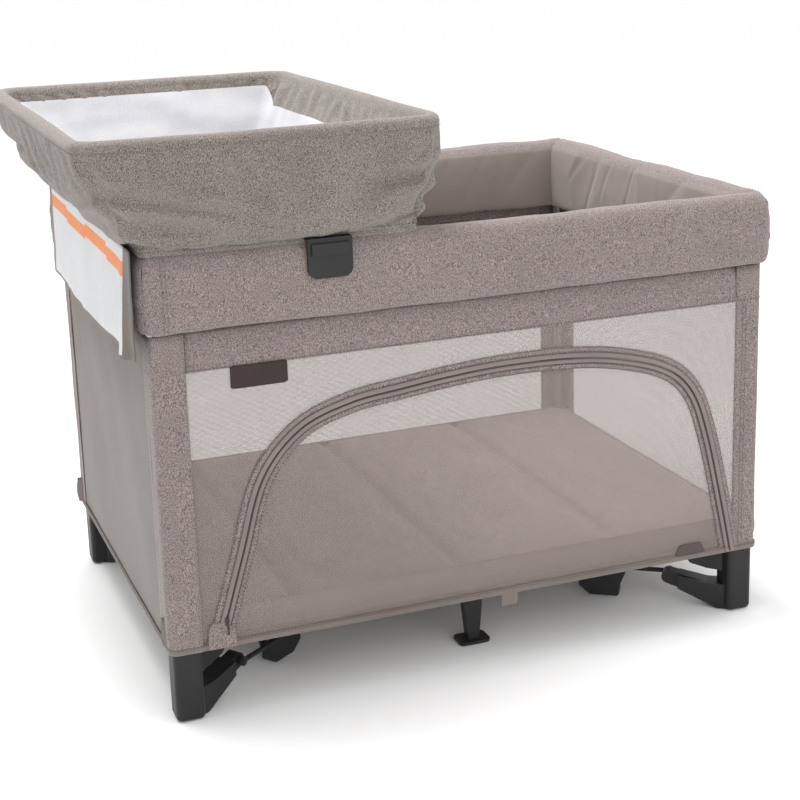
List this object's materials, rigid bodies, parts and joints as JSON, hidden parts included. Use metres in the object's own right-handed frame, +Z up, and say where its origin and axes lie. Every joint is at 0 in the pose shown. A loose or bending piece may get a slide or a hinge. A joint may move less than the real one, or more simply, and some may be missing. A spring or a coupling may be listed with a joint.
{
  "type": "playpen",
  "caption": "Folding rectangular playpen with mesh sides, padded top rails, a zipped door, a mattress, a folding hub frame and a lift-off changing tub.",
  "frame": {"origin": "on the floor, at the centre of the hub foot's underside, which is the middle of the fabric walls' rectangle", "axes": "+X along the long side, away from the changing tub; +Y from the door side to the back; +Z up"},
  "size_m": [1.16, 0.84, 0.923],
  "materials": {
    "tube": "satin anodised tube",
    "dark_plastic": "fine moulded grain",
    "melange_fabric": "two-tone twill weave",
    "plain_fabric": "smooth close weave",
    "mesh_fabric": "open knitted mesh",
    "mat_fabric": "smooth quilted cloth",
    "liner_fabric": "soft brushed white cloth",
    "zip": "coil zip on woven tape",
    "webbing": "woven strap",
    "pin_steel": "plain steel pin"
  },
  "bodies": {
    "hub": {"hub_housing": "dark_plastic", "hub_foot": "dark_plastic", "hub_pins": "pin_steel", "pull_strap": "webbing", "floor_panel": "plain_fabric"},
    "arm_fl": {"arm_fl": "tube"},
    "leg_fl": {"leg_tube_fl": "tube", "foot_fl": "dark_plastic", "corner_bracket_fl": "dark_plastic", "front_wall": "mesh_fabric", "zip_track": "zip", "zip_slider": "zip"},
    "knee_fl": {"knee_fl": "dark_plastic"},
    "rod_fl": {"rod_fl": "dark_plastic"},
    "arm_fr": {"arm_fr": "tube"},
    "leg_fr": {"leg_tube_fr": "tube", "foot_fr": "dark_plastic", "corner_bracket_fr": "dark_plastic", "right_wall": "mesh_fabric"},
    "knee_fr": {"knee_fr": "dark_plastic"},
    "rod_fr": {"rod_fr": "dark_plastic"},
    "arm_br": {"arm_br": "tube"},
    "leg_br": {"leg_tube_br": "tube", "foot_br": "dark_plastic", "corner_bracket_br": "dark_plastic", "back_wall": "mesh_fabric"},
    "knee_br": {"knee_br": "dark_plastic"},
    "rod_br": {"rod_br": "dark_plastic"},
    "arm_bl": {"arm_bl": "tube"},
    "leg_bl": {"leg_tube_bl": "tube", "foot_bl": "dark_plastic", "corner_bracket_bl": "dark_plastic", "left_wall": "plain_fabric"},
    "knee_bl": {"knee_bl": "dark_plastic"},
    "rod_bl": {"rod_bl": "dark_plastic"},
    "rail_front_fl": {"rail_front_fl": "tube", "rail_cover_front": "melange_fabric"},
    "middle_front": {"middle_joint_front": "dark_plastic"},
    "rail_front_fr": {"rail_front_fr": "tube"},
    "rail_right_fr": {"rail_right_fr": "tube", "rail_cover_right": "melange_fabric"},
    "middle_right": {"middle_joint_right": "dark_plastic"},
    "rail_right_br": {"rail_right_br": "tube"},
    "rail_back_br": {"rail_back_br": "tube", "rail_cover_back": "melange_fabric"},
    "middle_back": {"middle_joint_back": "dark_plastic"},
    "rail_back_bl": {"rail_back_bl": "tube"},
    "rail_left_bl": {"rail_left_bl": "tube", "rail_cover_left": "melange_fabric"},
    "middle_left": {"middle_joint_left": "dark_plastic"},
    "rail_left_fl": {"rail_left_fl": "tube"},
    "outrigger_front": {"outrigger_front": "dark_plastic"},
    "outrigger_back": {"outrigger_back": "dark_plastic"},
    "mattress": {"mattress": "mat_fabric"},
    "changer": {"changer_frame": "tube", "changer_skirt": "melange_fabric", "changer_liner": "liner_fabric", "changer_clips": "dark_plastic", "changer_flap": "liner_fabric"},
    "door": {"door_panel": "mesh_fabric"}
  },
  "joints": [
    {"name": "fold", "type": "hinge", "parent": "hub", "child": "arm_fl", "pos_m": [-0.04482, -0.03188, 0.09], "axis": [0.5795, -0.8149, 0], "range_deg": [0, 75], "deforming": ["front_wall", "right_wall", "back_wall", "left_wall", "zip_track", "zip_slider", "door_panel", "floor_panel", "rail_cover_front", "rail_cover_right", "rail_cover_back", "rail_cover_left", "mattress", "pull_strap"]},
    {"name": "leg_hinge_fl", "type": "hinge", "parent": "arm_fl", "child": "leg_fl", "pos_m": [-0.4368, -0.31064, 0.09], "axis": [0.5795, -0.8149, 0], "range_deg": [-75, 0]},
    {"name": "knee_hinge_fl", "type": "hinge", "parent": "arm_fl", "child": "knee_fl", "pos_m": [-0.34716, -0.24689, 0.09], "axis": [0.5795, -0.8149, 0], "range_deg": [-75, 0]},
    {"name": "rod_hinge_fl", "type": "hinge", "parent": "leg_fl", "child": "rod_fl", "pos_m": [-0.40013, -0.28456, 0.05], "axis": [0.5795, -0.8149, 0], "range_deg": [0, 75]},
    {"name": "arm_hinge_fr", "type": "hinge", "parent": "hub", "child": "arm_fr", "pos_m": [0.04482, -0.03188, 0.09], "axis": [0.5795, 0.8149, 0], "range_deg": [0, 75]},
    {"name": "leg_hinge_fr", "type": "hinge", "parent": "arm_fr", "child": "leg_fr", "pos_m": [0.4368, -0.31064, 0.09], "axis": [0.5795, 0.8149, 0], "range_deg": [-75, 0]},
    {"name": "knee_hinge_fr", "type": "hinge", "parent": "arm_fr", "child": "knee_fr", "pos_m": [0.34716, -0.24689, 0.09], "axis": [0.5795, 0.8149, 0], "range_deg": [-75, 0]},
    {"name": "rod_hinge_fr", "type": "hinge", "parent": "leg_fr", "child": "rod_fr", "pos_m": [0.40013, -0.28456, 0.05], "axis": [0.5795, 0.8149, 0], "range_deg": [0, 75]},
    {"name": "arm_hinge_br", "type": "hinge", "parent": "hub", "child": "arm_br", "pos_m": [0.04482, 0.03188, 0.09], "axis": [-0.5795, 0.8149, 0], "range_deg": [0, 75]},
    {"name": "leg_hinge_br", "type": "hinge", "parent": "arm_br", "child": "leg_br", "pos_m": [0.4368, 0.31064, 0.09], "axis": [-0.5795, 0.8149, 0], "range_deg": [-75, 0]},
    {"name": "knee_hinge_br", "type": "hinge", "parent": "arm_br", "child": "knee_br", "pos_m": [0.34716, 0.24689, 0.09], "axis": [-0.5795, 0.8149, 0], "range_deg": [-75, 0]},
    {"name": "rod_hinge_br", "type": "hinge", "parent": "leg_br", "child": "rod_br", "pos_m": [0.40013, 0.28456, 0.05], "axis": [-0.5795, 0.8149, 0], "range_deg": [0, 75]},
    {"name": "arm_hinge_bl", "type": "hinge", "parent": "hub", "child": "arm_bl", "pos_m": [-0.04482, 0.03188, 0.09], "axis": [-0.5795, -0.8149, 0], "range_deg": [0, 75]},
    {"name": "leg_hinge_bl", "type": "hinge", "parent": "arm_bl", "child": "leg_bl", "pos_m": [-0.4368, 0.31064, 0.09], "axis": [-0.5795, -0.8149, 0], "range_deg": [-75, 0]},
    {"name": "knee_hinge_bl", "type": "hinge", "parent": "arm_bl", "child": "knee_bl", "pos_m": [-0.34716, 0.24689, 0.09], "axis": [-0.5795, -0.8149, 0], "range_deg": [-75, 0]},
    {"name": "rod_hinge_bl", "type": "hinge", "parent": "leg_bl", "child": "rod_bl", "pos_m": [-0.40013, 0.28456, 0.05], "axis": [-0.5795, -0.8149, 0], "range_deg": [0, 75]},
    {"name": "rail_hinge_front_fl", "type": "hinge", "parent": "leg_fl", "child": "rail_front_fl", "pos_m": [-0.447, -0.357, 0.712], "axis": [0, 1, 0], "range_deg": [0, 75]},
    {"name": "middle_hinge_front", "type": "hinge", "parent": "rail_front_fl", "child": "middle_front", "pos_m": [-0.05502, -0.357, 0.712], "axis": [0, 1, 0], "range_deg": [-75, 0]},
    {"name": "rail_hinge_front_fr", "type": "hinge", "parent": "leg_fr", "child": "rail_front_fr", "pos_m": [0.447, -0.357, 0.712], "axis": [0, -1, 0], "range_deg": [0, 75]},
    {"name": "rail_hinge_right_fr", "type": "hinge", "parent": "leg_fr", "child": "rail_right_fr", "pos_m": [0.502, -0.327, 0.712], "axis": [-1, 0, 0], "range_deg": [0, 75]},
    {"name": "middle_hinge_right", "type": "hinge", "parent": "rail_right_fr", "child": "middle_right", "pos_m": [0.502, -0.04824, 0.712], "axis": [-1, 0, 0], "range_deg": [-75, 0]},
    {"name": "rail_hinge_right_br", "type": "hinge", "parent": "leg_br", "child": "rail_right_br", "pos_m": [0.502, 0.327, 0.712], "axis": [1, 0, 0], "range_deg": [0, 75]},
    {"name": "rail_hinge_back_br", "type": "hinge", "parent": "leg_br", "child": "rail_back_br", "pos_m": [0.447, 0.357, 0.712], "axis": [0, -1, 0], "range_deg": [0, 75]},
    {"name": "middle_hinge_back", "type": "hinge", "parent": "rail_back_br", "child": "middle_back", "pos_m": [0.05502, 0.357, 0.712], "axis": [0, -1, 0], "range_deg": [-75, 0]},
    {"name": "rail_hinge_back_bl", "type": "hinge", "parent": "leg_bl", "child": "rail_back_bl", "pos_m": [-0.447, 0.357, 0.712], "axis": [0, 1, 0], "range_deg": [0, 75]},
    {"name": "rail_hinge_left_bl", "type": "hinge", "parent": "leg_bl", "child": "rail_left_bl", "pos_m": [-0.502, 0.327, 0.712], "axis": [1, 0, 0], "range_deg": [0, 75]},
    {"name": "middle_hinge_left", "type": "hinge", "parent": "rail_left_bl", "child": "middle_left", "pos_m": [-0.502, 0.04824, 0.712], "axis": [1, 0, 0], "range_deg": [-75, 0]},
    {"name": "rail_hinge_left_fl", "type": "hinge", "parent": "leg_fl", "child": "rail_left_fl", "pos_m": [-0.502, -0.327, 0.712], "axis": [-1, 0, 0], "range_deg": [0, 75]},
    {"name": "outrigger_hinge_front", "type": "hinge", "parent": "hub", "child": "outrigger_front", "pos_m": [0.017, -0.07, 0.09], "axis": [1, 0, 0], "range_deg": [0, 75]},
    {"name": "outrigger_hinge_back", "type": "hinge", "parent": "hub", "child": "outrigger_back", "pos_m": [-0.017, 0.07, 0.09], "axis": [-1, 0, 0], "range_deg": [0, 75]},
    {"name": "mattress_lift", "type": "slide", "parent": "hub", "child": "mattress", "axis": [0, 0, 1], "range_m": [0, 0.305]},
    {"name": "changer_lift", "type": "slide", "parent": "hub", "child": "changer", "axis": [0, 0, 1], "range_m": [0, 0.25]},
    {"name": "door", "type": "hinge", "parent": "leg_fl", "child": "door", "pos_m": [0, -0.3755, 0.1305], "axis": [1, 0, 0], "range_deg": [0, 100]}
  ],
  "couplings": [
    {"joint": "leg_hinge_fl", "follows": "fold", "ratio": -1},
    {"joint": "knee_hinge_fl", "follows": "fold", "ratio": -1},
    {"joint": "rod_hinge_fl", "follows": "fold", "ratio": 1},
    {"joint": "arm_hinge_fr", "follows": "fold", "ratio": 1},
    {"joint": "leg_hinge_fr", "follows": "fold", "ratio": -1},
    {"joint": "knee_hinge_fr", "follows": "fold", "ratio": -1},
    {"joint": "rod_hinge_fr", "follows": "fold", "ratio": 1},
    {"joint": "arm_hinge_br", "follows": "fold", "ratio": 1},
    {"joint": "leg_hinge_br", "follows": "fold", "ratio": -1},
    {"joint": "knee_hinge_br", "follows": "fold", "ratio": -1},
    {"joint": "rod_hinge_br", "follows": "fold", "ratio": 1},
    {"joint": "arm_hinge_bl", "follows": "fold", "ratio": 1},
    {"joint": "leg_hinge_bl", "follows": "fold", "ratio": -1},
    {"joint": "knee_hinge_bl", "follows": "fold", "ratio": -1},
    {"joint": "rod_hinge_bl", "follows": "fold", "ratio": 1},
    {"joint": "rail_hinge_front_fl", "follows": "fold", "ratio": 1},
    {"joint": "middle_hinge_front", "follows": "fold", "ratio": -1},
    {"joint": "rail_hinge_front_fr", "follows": "fold", "ratio": 1},
    {"joint": "rail_hinge_right_fr", "follows": "fold", "ratio": 1},
    {"joint": "middle_hinge_right", "follows": "fold", "ratio": -1},
    {"joint": "rail_hinge_right_br", "follows": "fold", "ratio": 1},
    {"joint": "rail_hinge_back_br", "follows": "fold", "ratio": 1},
    {"joint": "middle_hinge_back", "follows": "fold", "ratio": -1},
    {"joint": "rail_hinge_back_bl", "follows": "fold", "ratio": 1},
    {"joint": "rail_hinge_left_bl", "follows": "fold", "ratio": 1},
    {"joint": "middle_hinge_left", "follows": "fold", "ratio": -1},
    {"joint": "rail_hinge_left_fl", "follows": "fold", "ratio": 1},
    {"joint": "outrigger_hinge_front", "follows": "fold", "ratio": 1},
    {"joint": "outrigger_hinge_back", "follows": "fold", "ratio": 1},
    {"joint": "mattress_lift", "follows": "fold", "m_per_rad": 0.23}
  ]
}
